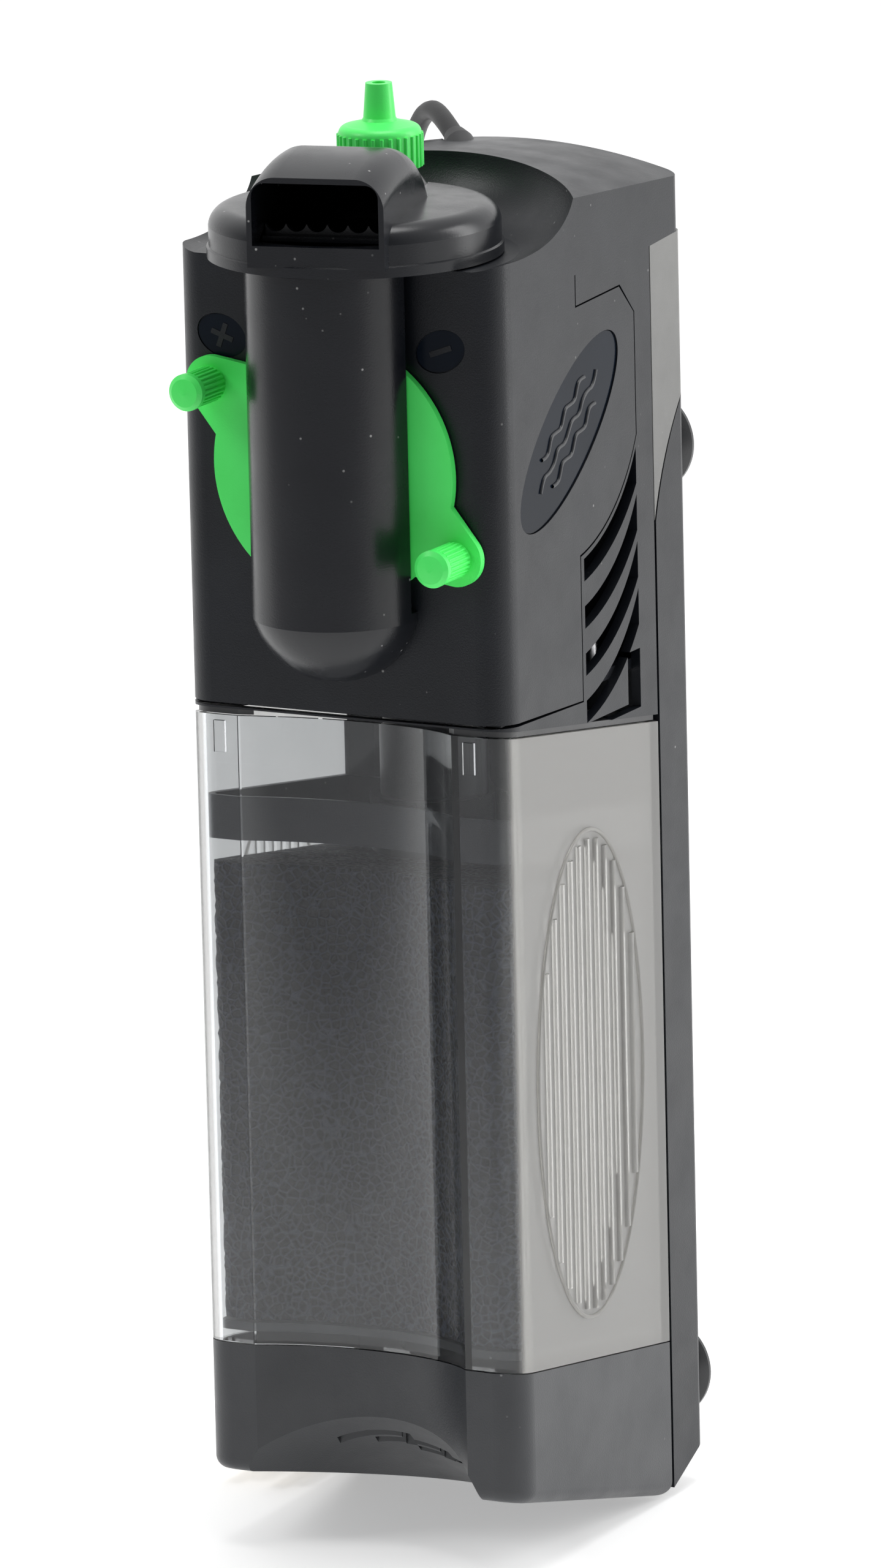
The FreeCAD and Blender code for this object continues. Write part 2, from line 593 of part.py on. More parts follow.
def nozzle():
    radius, high = cells.nozzle_radius, cells.nozzle_height
    disc = turned("nozzle_disc",
                  [(0, 0), (radius, 0), (radius, 2.2), (radius - 0.5, 2.5), (radius - 0.5, high - 4.5),
                                  (radius - 5, high - 0.4), (0, high + 1)], {4: (4.6, -1)})
    hood_side = side_prism("hood_side", cells.hood_width / 2,
                           [(-radius + 0.9, 2), (-radius + 0.9, cells.hood_front), (-9, cells.hood_crest),
                            (11, high - 1), (11, 2)],
                           {1: (70.0, 1), 2: (24.0, 1)})
    def hood_edge(edge):
        middle = edge.CenterOfMass
        return abs(abs(middle.x) - cells.hood_width.value / 2) < 0.01 and middle.z > 14 and not along(edge,
                                                                                                      (0, 0,
                                                                                                       1))

    hood = fillet("hood_round", hood_side, 6.5, hood_edge)
    boss = cone("nozzle_boss", 11, 7.6, 4.2, (0, cells.cap_offset, high - 1.2))
    solid = fuse("nozzle_solid", disc, hood, boss)
    chamber = turned("nozzle_chamber", [(0, 1.8), (radius - 2.6, 1.8), (radius - 2.6, high - 4.6),
                                        (radius - 6, high - 2.6), (0, high - 1.6)])
    window_low, window_high = cells.window_low, cells.window_high
    window_side = side_prism("window_side", cells.window_width / 2,
                             [(-radius - 2, window_low), (-radius - 2, window_high),
                              (-9, cells.hood_crest - 2.4), (8, high - 2), (8, window_low)],
                             {2: (26.0, 1)})
    def window_edge(edge):
        middle = edge.CenterOfMass
        at_side = abs(abs(middle.x) - cells.window_width.value / 2) < 0.01
        return at_side and middle.z > 16 and middle.y < 0 and not along(edge, (0, 0, 1))

    window = fillet("window_round", window_side, 3.0, window_edge)
    neck = cylinder("nozzle_neck_bore", cells.neck_radius + 0.06, 10, (0, 0, -1))
    air_bore = cylinder("nozzle_air_bore", 2.4, 20, (0, cells.cap_offset, 0.5 + 1.3))
    groove = cylinder("nozzle_groove", cells.neck_radius + 2.5, 2.2, (0, 0, -1))
    body = cut("nozzle_body", solid, chamber, window, neck, groove, air_bore)
    piece("nozzle", on_nozzle(body))
    # comb across the window's floor
    teeth = 7
    pitch = (cells.window_width - 0.6) / (teeth - 1)
    blade = wide_box("comb_blade", cells.window_width / 2 - 0.3, -22, -20.6, window_low + 0.1,
                     window_low + 3.2)
    scallops = [
        cylinder(f"comb_scallop_{n}", 2.35, 6, (pitch * (n - (teeth - 2) / 2), -24, window_low + 3.9), "y")
        for n in range(teeth - 1)
    ]
    ledge = wide_box("comb_ledge", cells.window_width / 2 - 0.3, -24.5, -18, window_low - 0.2,
                     window_low + 0.9)
    piece("flow_comb", on_nozzle(fuse("flow_comb_body", cut("comb_cut", blade, *scallops), ledge)))


def air_cap():
    low, radius, high = cells.cap_low, cells.cap_radius, cells.cap_height
    top = high + cells.nipple_height
    cap = turned("air_cap_body", [
        (3.2, 0), (radius, 0), (radius, high - 1.8), (radius - 1.8, high),
        (cells.nipple_foot + 0.3, high + 0.9),
        (cells.nipple_foot - 0.1, high + 1.6), (cells.nipple_tip, top), (cells.nipple_bore, top),
        (cells.nipple_bore, 6), (3.2, 6)], {2: (1.9, -1)})
    ribbed(cap, radius, cells.rib_radius, 0.2, high - 2.2, 30)
    piece("air_cap", on_nozzle(cap, y=cells.cap_offset.value, z=low.value))
    seat = cells.nozzle_height + 1
    pipe = turned("air_pipe_body", [(0.9, -9.5), (2.4, -9.5), (2.4, seat - low), (2.4, 0), (3.14, 0),
                                    (3.14, 5.6), (0.9, 5.6)])
    piece("air_pipe", on_nozzle(pipe, y=cells.cap_offset.value, z=low.value))
    inner, outer, floor = cells.neck_radius, cells.neck_radius + 2.2, cells.bowl_floor_z - cells.nozzle_z
    seal = turned("nozzle_seal_body", [(inner, floor), (outer, floor), (outer, 0.8), (inner, 0.8)])
    piece("nozzle_seal", on_nozzle(seal))


# ------------------------------------------------------------------ pump and motor
def pump():
    y, gap = cells.pump_y, cells.running_gap
    low, high, well = cells.well_low_z, cells.well_high_z, cells.well_radius
    at = (0, y, 0)
    shell = turned("rotor_well_body", [(0, high - 1.2), (well - 1.1, high - 1.2), (well - 1.1, low),
                                       (cells.chamber_radius, low),
                                       (cells.chamber_radius, low + 2), (well, low + 2), (well, high),
                                       (0, high)])
    piece("rotor_well", put(shell, at))
    shaft = cells.shaft_radius
    piece("impeller_shaft", put(turned("impeller_shaft_body", [
        (0, cells.chamber_z + 0.4), (shaft, cells.chamber_z + 0.4), (shaft, high - 1.4), (0, high - 1.4)]),
        at))
    for name, foot, top, outer in (("shaft_bushing_upper", high - 5, high - 1.2, well - 1.15),
                                   ("shaft_bushing_lower", cells.chamber_z + 0.4, cells.chamber_z + 3.4,
                                    3.2)):
        ring = turned(name + "_body", [(shaft, foot), (outer, foot), (outer, top), (shaft, top)])
        piece(name, put(ring, at))
    magnet_low = low + 6
    bore = shaft + gap
    piece("rotor_magnet", put(turned("rotor_magnet_body", [
        (bore, magnet_low), (cells.magnet_radius, magnet_low),
        (cells.magnet_radius, magnet_low + cells.magnet_length),
        (bore, magnet_low + cells.magnet_length)]), at))
    impeller(at, magnet_low, bore)
    volute(y)
    stator(y, high)


def impeller(at, magnet_low, bore):
    foot = cells.chamber_z + 4.2
    hub = put(turned("impeller_hub", [(bore, foot), (3.6, foot), (3.6, magnet_low - 8), (8, magnet_low - 8),
                                      (8, magnet_low), (bore, magnet_low)]), at)
    blades = []
    for n in range(6):
        blade = doc.addObject("Part::Box", f"impeller_blade_{n}")
        bind(blade, Length=cells.impeller_radius - 3, Width=1.3, Height=9.5)
        turn = Rotation(Vector(0, 0, 1), 60 * n)
        corner = turn.multVec(Vector(3, -0.65, 0))
        blades.append(put(blade, (corner.x, at[1] + corner.y, foot + 1), turn))
    piece("impeller", fuse("impeller_body", hub, *blades))


def volute(y):
    floor, radius = cells.chamber_z, cells.chamber_radius
    top = cells.well_low_z
    cup = put(turned("volute_cup", [(8, floor), (radius, floor), (radius, top), (radius - 2, top),
                                    (radius - 2, floor + 2), (8, floor + 2)]), (0, y, 0))
    ring = put(turned("volute_ring", [(3.2, floor), (4.6, floor), (4.6, floor + 2), (3.2, floor + 2)]),
               (0, y, 0))
    spokes = []
    for n in range(3):
        spoke = doc.addObject("Part::Box", f"volute_spoke_{n}")
        bind(spoke, Length=5.5, Width=1.6, Height=1.8)
        turn = Rotation(Vector(0, 0, 1), 120 * n + 30)
        corner = turn.multVec(Vector(3.9, -0.8, 0))
        spokes.append(put(spoke, (corner.x, y + corner.y, floor + 0.1), turn))
    mouth = wide_box("volute_mouth", 6, -90, y - 10, floor + 5, floor + 17)
    spout = cut("volute_spout",
                wide_box("volute_spout_block", 7.6, -83.4, y - 15, floor + 3.4, floor + 18.6),
                cylinder("volute_spout_clear", radius - 1, 60, (0, y, 50)), mouth)
    wall = cut("volute_wall", cup, wide_box("volute_gate", 6, -90, y - 12, floor + 5, floor + 17))
    piece("volute_cover", fuse("volute_cover_body", wall, ring, spout, *spokes))
    back = -83.4
    outer = wide_box("riser_block", 10, FRONT + WALL, back, floor + 1, cells.dial_z + 20)
    room = wide_box("riser_room", 8.2, FRONT + WALL + 1.9, back - 1.8, floor + 2.8, cells.dial_z + 18.2)
    inlet = wide_box("riser_inlet", 6, -90, -80, floor + 5, floor + 17)
    outlet = cylinder("riser_outlet", cells.port_radius, 10, (0, FRONT, cells.dial_z + cells.port_offset),
                      "y")
    screw = cylinder("riser_pivot", 3.2, 1.6, (0, FRONT + WALL, cells.dial_z), "y")
    piece("riser_duct", cut("riser_duct_body", outer, room, inlet, outlet, screw))


def stator(y, high):
    core_block = wide_box("core_block", 22, y - 15, y + 26, 98, 118)
    core_well = cylinder("core_well", cells.well_radius + 0.1, 60, (0, y, 80))
    core_window = wide_box("core_window", 10, y + 13, y + 20, 90, 130)
    piece("stator_core", cut("stator_core_body", core_block, core_well, core_window))
    coil_block = wide_box("coil_block", 9.8, y + 13.2, y + 28.8, 92, 124)
    leg = wide_box("coil_leg", 30, y + 20, y + 26, 98, 118)
    piece("coil_winding", cut("coil_winding_body", coil_block, leg))
    potting = wide_box("potting_block", 28, y - 17, SEAM - WALL, cells.well_low_z + 2, 138)
    tools = [
        cylinder("potting_well", cells.well_radius + 0.1, high - 60, (0, y, 60 + 0.2)),
        wide_box("potting_core", 22, y - 15, y + 26, 98, 118),
        wide_box("potting_coil", 9.8, y + 13.2, y + 28.8, 92, 124),
    ]
    piece("motor_block", cut("motor_block_body", potting, *tools))


def intake_plate():
    plate = wide_box("plate_block", HALF - WALL, FRONT + WALL, SEAM - WALL, cells.chamber_z - 2.4,
                     cells.chamber_z)
    spigot = cylinder("plate_spigot", 11.5, 38, (0, cells.pump_y, cells.chamber_z - 38))
    throat = cylinder("plate_throat", 9.5, 46, (0, cells.pump_y, cells.chamber_z - 42))
    places = [(x, dim(yy)) for x in (-30, 30) for yy in (-88, -38)]
    holes = [cylinder(f"plate_screw_hole_{n}", 1.5, 8, (x, yy, cells.chamber_z - 5)) for n,
             (x, yy) in enumerate(places)]
    piece("intake_plate", cut("intake_plate_body", fuse("plate_solid", plate, spigot), throat, *holes))
    screws = []
    for n, (x, yy) in enumerate(places):
        screws.append(cylinder(f"screw_shank_{n}", 1.5, 9, (x, yy, cells.chamber_z - 2.4)))
        screws.append(cylinder(f"screw_head_{n}", 2.8, 1.8, (x, yy, cells.chamber_z - 4.2)))
    group = doc.addObject("Part::Compound", "housing_screws_group")
    group.Links = [fuse(f"screw_{n}", screws[2 * n], screws[2 * n + 1]) for n in range(len(places))]
    piece("housing_screws", group)


# ------------------------------------------------------------------ container, sponge and intake cup
def recess(name, grow):
    """The upright round hollow down the front of the container and the cup."""
    centre = FRONT + cells.recess_depth - cells.recess_radius
    return cylinder(name, cells.recess_radius + grow, 260, (0, centre, -150))


def sloped_block(name, inset, top, bottom, bottom_drop):
    """A block with the body's outline, a sloped top and a sloped bottom."""
    low_y, high_y = FRONT + inset, SEAM - inset
    drop = cells.joint_drop
    corners = [(low_y, slope_z(top, drop, low_y)), (high_y, slope_z(top, drop, high_y)),
               (high_y, slope_z(bottom, bottom_drop, high_y)), (low_y, slope_z(bottom, bottom_drop, low_y))]
    block = side_prism(name, HALF - inset, corners)
    radius = cells.corner_radius - inset
    return fillet(name + "_round", block, radius, upright_at(low_y.value - 0.1, low_y.value + 0.1))


def seal_gasket():
    outer = sloped_block("gasket_outer", dim(0.8), cells.head_z, cells.head_z - cells.gasket + 0.3,
                         cells.joint_drop)
    inner = sloped_block("gasket_inner", dim(3.4), cells.head_z + 5, cells.head_z - 9, cells.joint_drop)
    piece("seal_gasket", cut("seal_gasket_body", outer, inner, recess("gasket_recess", 0.8)))


def filter_container():
    top, bottom = cells.head_z - cells.gasket, cells.cup_joint_z
    outer = cut("container_outer", sloped_block("container_block", dim(0), top, bottom, cells.joint_drop),
                recess("container_recess", 0))
    room = cut("container_room", sloped_block("container_inside", WALL, top + 9, bottom - 9,
                                              cells.joint_drop), recess("container_wall", WALL))
    shell = cut("container_shell", outer, room)
    ribs = []
    centre_y, centre_z, long_half, short_half = FRONT + 38, cells.lid_z - 187, 54.0, 24.5
    for side in (-1, 1):
        for n in range(-5, 6):
            offset = 4.2 * n
            reach = long_half * math.sqrt(1 - (offset / short_half) ** 2)
            ribs.append(cylinder(f"grip_rib_{side + 1}_{n + 5}", 1.1, 2 * reach,
                                 ((HALF - 0.3) * side, centre_y + offset, centre_z - reach)))
    clips = [
        box(f"container_clip_{side + 1}", (31 * side - 1.4, FRONT - 0.7, cells.lid_z - 111),
            (31 * side + 1.4, FRONT + 1, top - 1.2))
        for side in (-1, 1)
    ]
    piece("filter_container", fuse("filter_container_body", shell, *ribs, *clips))


def strainer_tray():
    inset = WALL + 0.1
    block = cut("tray_block",
                sloped_block("tray_outer", inset, cells.lid_z - 121, cells.lid_z - 131, cells.joint_drop),
                recess("tray_recess", inset))
    room = cut("tray_room", sloped_block("tray_inside", inset + 1.6, cells.lid_z - 110, cells.lid_z - 129.2,
                                         cells.joint_drop),
               recess("tray_recess_wall", inset + 1.6))
    slots = [wide_box(f"tray_slot_{n}", 24, -80 + 6.5 * n, -77 + 6.5 * n, 0, 60) for n in range(2)]
    slots += [wide_box(f"tray_back_slot_{n}", 24, -40 + 4.5 * n, -38 + 4.5 * n, 0, 60) for n in range(2)]
    socket = cylinder("tray_socket", 14, 14, (0, cells.pump_y, 25))
    bore = cylinder("tray_bore", 11.8, 40, (0, cells.pump_y, 10))
    collar = common("tray_collar", socket, wide_box("tray_collar_side", 20, -80, -35, 25, 38))
    solid = fuse("tray_solid", cut("tray_pan", block, room), collar)
    piece("strainer_tray", cut("strainer_tray_body", solid, bore, *slots))


def sponge():
    inset = WALL + 0.1
    block = cut("sponge_block", sloped_block("sponge_outer", inset, cells.sponge_high_z, cells.sponge_low_z,
                                             cells.joint_drop),
                recess("sponge_recess", inset))
    bore = cylinder("sponge_bore", 8.2, 200, (0, cells.pump_y, -140))
    piece("sponge", cut("sponge_body", block, bore))
    tube = cylinder("core_outside", 7.8, 107, (0, cells.pump_y, -86))
    inside = cylinder("core_inside", 6, 120, (0, cells.pump_y, -84))
    slots = []
    for level in range(7):
        low = -66 + 12 * level
        slots.append(wide_box(f"core_slot_x_{level}", 12, cells.pump_y - 1.5, cells.pump_y + 1.5, low,
                              low + 8))
        slots.append(wide_box(f"core_slot_y_{level}", 1.5, cells.pump_y - 12, cells.pump_y + 12, low,
                              low + 8))
    piece("sponge_core", cut("sponge_core_body", tube, inside, *slots))
    plate = cut("grid_block", sloped_block("grid_outer", WALL + 0.1, cells.sponge_low_z - 0.2,
                                           cells.sponge_low_z - 2.2, cells.joint_drop),
                recess("grid_recess", WALL + 0.1))
    bars = [wide_box(f"grid_slot_{n}", 30, -82 + 7 * n, -78 + 7 * n, -100, -70) for n in range(7)]
    spine = wide_box("grid_spine", 2, -86, -30, -100, -70)
    openings = cut("grid_openings", fuse("grid_slots", *bars), spine,
                   cylinder("grid_keep", 10, 60, (0, cells.pump_y, -110)))
    socket = cylinder("grid_socket", 9.8, 5, (0, cells.pump_y, -91))
    bore = cylinder("grid_bore", 7.8, 60, (0, cells.pump_y, -86))
    piece("sponge_grid", cut("sponge_grid_body", fuse("grid_solid", plate, socket), openings, bore))


def scoop(name, grow):
    """The round intake scoop under the recess: a cylinder that slopes down to the rear."""
    turn = Rotation(Vector(1, 0, 0), -90 - cells.scoop_angle.value)
    lean = math.radians(cells.scoop_angle.value)
    radius = cells.scoop_radius + grow
    axis_z = cells.scoop_z - cells.scoop_radius / math.cos(lean)
    back = 60.0
    return cylinder(name, radius, 220, (0, FRONT - back * math.cos(lean), axis_z + back * math.sin(lean)),
                    turn)


def intake_slot(name, x, y, length, lean):
    """A hook-shaped slot down through the scoop's wall."""
    slot = doc.addObject("Part::Box", name)
    bind(slot, Length=length, Width=2.6, Height=26)
    turn = Rotation(Vector(0, 0, 1), lean)
    put(slot, (x, y, cells.foot_z - 2), turn)
    hook = doc.addObject("Part::Box", name + "_hook")
    bind(hook, Length=2.6, Width=7.0, Height=26)
    corner = turn.multVec(Vector(dim(length).value - 2.6, 0, 0))
    put(hook, (x + corner.x, y + corner.y, cells.foot_z - 2), turn)
    return [slot, hook]


def base_cup():
    top, bottom = cells.cup_joint_z - 0.3, cells.foot_z
    block = sloped_block("cup_block", dim(0), top, bottom, cells.foot_drop)
    def foot_edge(edge):
        middle = edge.CenterOfMass
        return middle.z < -108 and not along(edge, (0, 0, 1))

    rounded = fillet("cup_foot_round", block, 3.2, foot_edge)
    outer = cut("cup_outer", rounded, recess("cup_recess", 0), scoop("cup_scoop", 0))
    room = cut("cup_room", sloped_block("cup_inside", WALL, top + 9, bottom + 2.4, cells.foot_drop),
               recess("cup_recess_wall", WALL), scoop("cup_scoop_wall", WALL))
    slots = []
    for n, (x, y) in enumerate(((-15, -83.5), (-8, -78.5), (0, -73))):
        slots += intake_slot(f"cup_slot_{n}", x, y, 17, 12)
    piece("base_cup", cut("base_cup_body", outer, room, *slots))


# ------------------------------------------------------------------ holder and suction cups
def holder_corners(inset):
    front = cells.holder_front_y - (1 if inset else 0)
    return [(front, cells.holder_low_z + inset), (front, cells.holder_side_z - inset),
            (BACK - inset, cells.holder_top_z - inset), (BACK - inset, cells.holder_heel_z + inset)]


def holder_bracket():
    outer = fillet("holder_round",
                   side_prism("holder_side", HALF, holder_corners(0), {1: (cells.holder_arc, 1)}),
                   3, upright_at(-8.1, -7.9))
    room = side_prism("holder_room", HALF - WALL, holder_corners(WALL.value), {1: (cells.holder_arc, 1)})
    half, front = cells.rail_half, cells.holder_front_y
    rails = []
    for side in (-1, 1):
        web = (half, half + 2.2) if side > 0 else (-half - 2.2, -half)
        lip = (half - 2, half + 0.5) if side > 0 else (-half - 0.5, -half + 2)
        rails.append(box(f"rail_web_{side + 1}", (web[0], front, -118), (web[1], BACK - WALL + 0.2, 92)))
        rails.append(box(f"rail_lip_{side + 1}", (lip[0], front, -118), (lip[1], front + 2, 92)))
    gate = wide_box("holder_gate", half + 0.4, front - 1, front + 7.5, 88, 140)
    holes = [
        cylinder(f"holder_hole_{n}", cells.cup_neck, 8, (x, BACK - 5, z), "y")
        for n, (x, z) in enumerate((sx * cells.cup_x, sz * cells.cup_z) for sx in (-1, 1) for sz in (-1, 1))
    ]
    shell = cut("holder_shell", outer, room, gate, *holes)
    piece("holder_bracket", fuse("holder_bracket_body", shell, *rails))


def hanger_rail():
    half, front = cells.rail_half, cells.holder_front_y
    stem = wide_box("hanger_stem", half - 2.4, SEAM, front + 2.6, 40, 84)
    head = wide_box("hanger_head", half - 0.35, front + 2.4, front + 6.2, 40, 84)
    piece("hanger_rail", fuse("hanger_rail_body", stem, head))


def suction_cups():
    radius, neck = cells.cup_radius, cells.cup_neck
    for level, z in (("upper", cells.cup_z), ("lower", -cells.cup_z)):
        for side, x in (("left", -cells.cup_x), ("right", cells.cup_x)):
            name = f"suction_cup_{level}_{side}"
            inside = BACK - WALL
            cup = turned(name + "_body", [
                (0, inside - 1.3), (3.6, inside - 1.3), (3.6, inside), (neck, inside), (neck, BACK),
                (4.2, BACK),
                (4.6, -5.2), (radius, -0.9), (radius, 0), (radius - 1.8, 0), (5, -3), (0, -3.4)],
                {6: (12.0, -1)})
            piece(name, put(cup, (x, 0, z), Rotation(Vector(1, 0, 0), -90)))


# ------------------------------------------------------------------ cord
FLOOR = (cells.foot_z - cells.foot_drop).value
COIL_CENTRE = Vector(-22, 40, FLOOR + 7.4)


def cord_route():
    """The cord from its grommet, over the rear and down to its coil; points chosen by hand."""
    start, direction = cord_axis()
    lie = FLOOR + 5.0
    return [
        start, Vector(-22.8, -3, 181.5), Vector(-31, 5.6, 179.8), Vector(-37.8, 12.7, 172.9),
        Vector(-41.7, 16.8, 162.3), Vector(-40.5, 18.8, 142.5), Vector(-36, 21.5, 104),
        Vector(-28, 22.5, 52), Vector(-19, 19, 2), Vector(-9, 14.5, -42), Vector(-1, 11.5, -76),
        Vector(2, 12.5, -100), Vector(3.5, 21, -118), Vector(3.5, 37, lie),
        COIL_CENTRE + Vector(25, 10, -2.4),
    ]


def rounded_path(points):
    """Straight runs joined by tangent arcs, each arc as large as its two runs allow."""
    edges, radii, start = [], [], points[0]
    for before, corner, after in zip(points, points[1:], points[2:]):
        back, ahead = before - corner, after - corner
        half_turn = (math.pi - back.getAngle(ahead)) / 2
        reach = 0.45 * min(back.Length, ahead.Length)
        radii.append(reach / math.tan(half_turn))
        first = corner + back.normalize() * reach
        last = corner + ahead.normalize() * reach
        bisector = ((first + last) * 0.5 - corner).normalize()
        middle = corner + bisector * (radii[-1] / math.cos(half_turn) - radii[-1])
        edges.append(Part.LineSegment(start, first).toShape())
        edges.append(Part.Arc(first, middle, last).toShape())
        start = last
    edges.append(Part.LineSegment(start, points[-1]).toShape())
    return Part.Wire(edges), radii


def cord_tube(label, points):
    """A round cord through points, as a piece."""
    path, radii = rounded_path(points)
    radius = cells.cord_radius.value
    ring = Part.Wire(Part.Circle(points[0], points[1] - points[0], radius).toShape())
    tube = path.makePipeShell([ring], True, False)
    item = doc.addObject("Part::Feature", label + "_body")
    item.Shape = tube
    item.Placement = Placement()
    piece(label, item)
    return path, radii, tube


def motor_lead():
    """The cord inside the head, from the potted motor up to its grommet."""
    start, direction = cord_axis()
    cord_tube("motor_lead", [Vector(-9, -38, 138.4), Vector(-6, -38, 153), Vector(2, -32, 165),
                             start - direction * 8, start])


def power_cord():
    points = cord_route()
    path, radii, tube = cord_tube("power_cord", points)
    radius = cells.cord_radius.value
    print("cord radii", [round(r, 1) for r in radii], "tube length", round(path.Length, 1))
    print("cord runs", [round((b - a).Length, 1) for a, b in zip(points, points[1:])])
    print("volume over section x length", round(tube.Volume / (math.pi * radius ** 2 * path.Length), 4))


def cord_coil():
    ring = doc.addObject("Part::Torus", "cord_coil_body")
    bind(ring, Radius1=cells.coil_radius, Radius2=cells.coil_section)
    piece("cord_coil", put(ring, tuple(COIL_CENTRE)))
    spot = COIL_CENTRE + Vector(-2.5, cells.coil_radius.value, 0)
    band = cylinder("tie_band", cells.coil_section + 0.6, 5, tuple(spot), "x")
    hole = doc.addObject("Part::Torus", "tie_hole")
    bind(hole, Radius1=cells.coil_radius, Radius2=cells.coil_section)
    put(hole, tuple(COIL_CENTRE))
    piece("cord_tie", cut("cord_tie_body", band, hole))


def mains_plug():
    """A flat two-pin plug that lies beside the foot, its pins to the front."""
    x, y, z = -53.0, 1.0, FLOOR
    block = box("plug_block", (x - 9, y - 36, z), (x + 9, y, z + 14))
    shaped = fillet("plug_rounded", block, 3.5, lambda edge: True)
    boot = cone("plug_boot", 4.6, 2.9, 17, (x, y - 1, z + 7), TURNS["y"])
    piece("plug_body", fuse("plug_body_solid", shaped, boot))
    pins = [
        cylinder(f"plug_pin_{n}", 2.0, 19, (x + offset, y - 36 - 19, z + 7), "y")
        for n, offset in enumerate((-5.5, 5.5))
    ]
    group = doc.addObject("Part::Compound", "plug_pins_group")
    group.Links = pins
    piece("plug_pins", group)


# ------------------------------------------------------------------ build, test and write
for build in (front_cover, side_badges, rear_casing, rear_cover, lid, cord_gland, outlet_tube, flow_dial,
              nozzle, air_cap, pump, intake_plate, seal_gasket, filter_container, strainer_tray, sponge,
              base_cup, holder_bracket, hanger_rail, suction_cups, motor_lead, power_cord, cord_coil,
              mains_plug):
    build()
doc.recompute()

broken = [item.Name for item in doc.Objects if {"Invalid", "Error"} & set(item.State)]
for label, item in pieces.items():
    if item.Shape.isNull() or not item.Shape.isValid() or item.Shape.Volume <= 0:
        broken.append(label)
if broken:
    raise SystemExit("failed objects: " + ", ".join(broken))

os.makedirs("parts", exist_ok=True)
for label, item in pieces.items():
    item.Shape.exportStep(os.path.join("parts", label + ".step"))
    print(f"{label}: {len(item.Shape.Solids)} solid(s), {item.Shape.Volume / 1000:.1f} cm3")
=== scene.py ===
"""Studio scene of an internal power filter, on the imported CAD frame.  Metres, +Z up, front at -Y."""
import json
import math
import random

import bpy
import numpy as np
from mathutils import Matrix, Vector


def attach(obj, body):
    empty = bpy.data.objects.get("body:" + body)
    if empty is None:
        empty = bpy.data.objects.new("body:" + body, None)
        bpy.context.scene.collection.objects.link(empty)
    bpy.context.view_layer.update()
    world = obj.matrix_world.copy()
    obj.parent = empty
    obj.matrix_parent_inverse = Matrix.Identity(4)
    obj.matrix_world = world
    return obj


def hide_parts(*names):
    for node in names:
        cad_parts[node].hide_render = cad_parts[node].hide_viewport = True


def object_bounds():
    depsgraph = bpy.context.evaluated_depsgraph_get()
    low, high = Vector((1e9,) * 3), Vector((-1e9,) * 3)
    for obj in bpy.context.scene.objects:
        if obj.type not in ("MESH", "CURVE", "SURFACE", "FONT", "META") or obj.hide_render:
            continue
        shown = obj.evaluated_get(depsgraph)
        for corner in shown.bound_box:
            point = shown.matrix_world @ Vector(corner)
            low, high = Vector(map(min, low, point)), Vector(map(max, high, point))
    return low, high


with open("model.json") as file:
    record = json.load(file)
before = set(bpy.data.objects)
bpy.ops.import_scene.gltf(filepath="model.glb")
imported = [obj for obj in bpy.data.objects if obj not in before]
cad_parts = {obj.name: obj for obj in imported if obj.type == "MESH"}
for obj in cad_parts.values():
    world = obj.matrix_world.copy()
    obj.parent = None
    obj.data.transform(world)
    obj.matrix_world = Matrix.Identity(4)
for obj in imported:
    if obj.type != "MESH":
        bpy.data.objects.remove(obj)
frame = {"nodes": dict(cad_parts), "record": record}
CAD_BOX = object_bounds()
NODES = frame["nodes"]
MM = 0.001


def mm(*values):
    """Millimetres to a vector in metres."""
    return Vector(values) * MM


# ------------------------------------------------------------------ camera
AZIMUTH, ELEVATION, ROLL = math.radians(27.49), math.radians(13.08), math.radians(1.33)
TARGET = mm(2.85, -60.0, 39.8)
DISTANCE = 2.716
LENS, SENSOR = 278.85, 36


def make_camera():
    """A long lens from the front right, slightly above, and rolled a little."""
    ahead = Vector((-math.sin(AZIMUTH) * math.cos(ELEVATION), math.cos(AZIMUTH) * math.cos(ELEVATION),
                    -math.sin(ELEVATION)))
    level = Vector((math.cos(AZIMUTH), math.sin(AZIMUTH), 0))
    over = level.cross(ahead)
    right = math.cos(ROLL) * level - math.sin(ROLL) * over
    up = math.sin(ROLL) * level + math.cos(ROLL) * over
    data = bpy.data.cameras.new("camera")
    data.lens = LENS
    data.sensor_width = SENSOR
    data.clip_end = 50
    data.dof.use_dof = False
    camera = bpy.data.objects.new("camera", data)
    bpy.context.scene.collection.objects.link(camera)
    place = TARGET - ahead * DISTANCE
    camera.matrix_world = Matrix((
        (right.x, up.x, -ahead.x, place.x), (right.y, up.y, -ahead.y, place.y),
        (right.z, up.z, -ahead.z, place.z), (0, 0, 0, 1)))
    bpy.context.scene.camera = camera


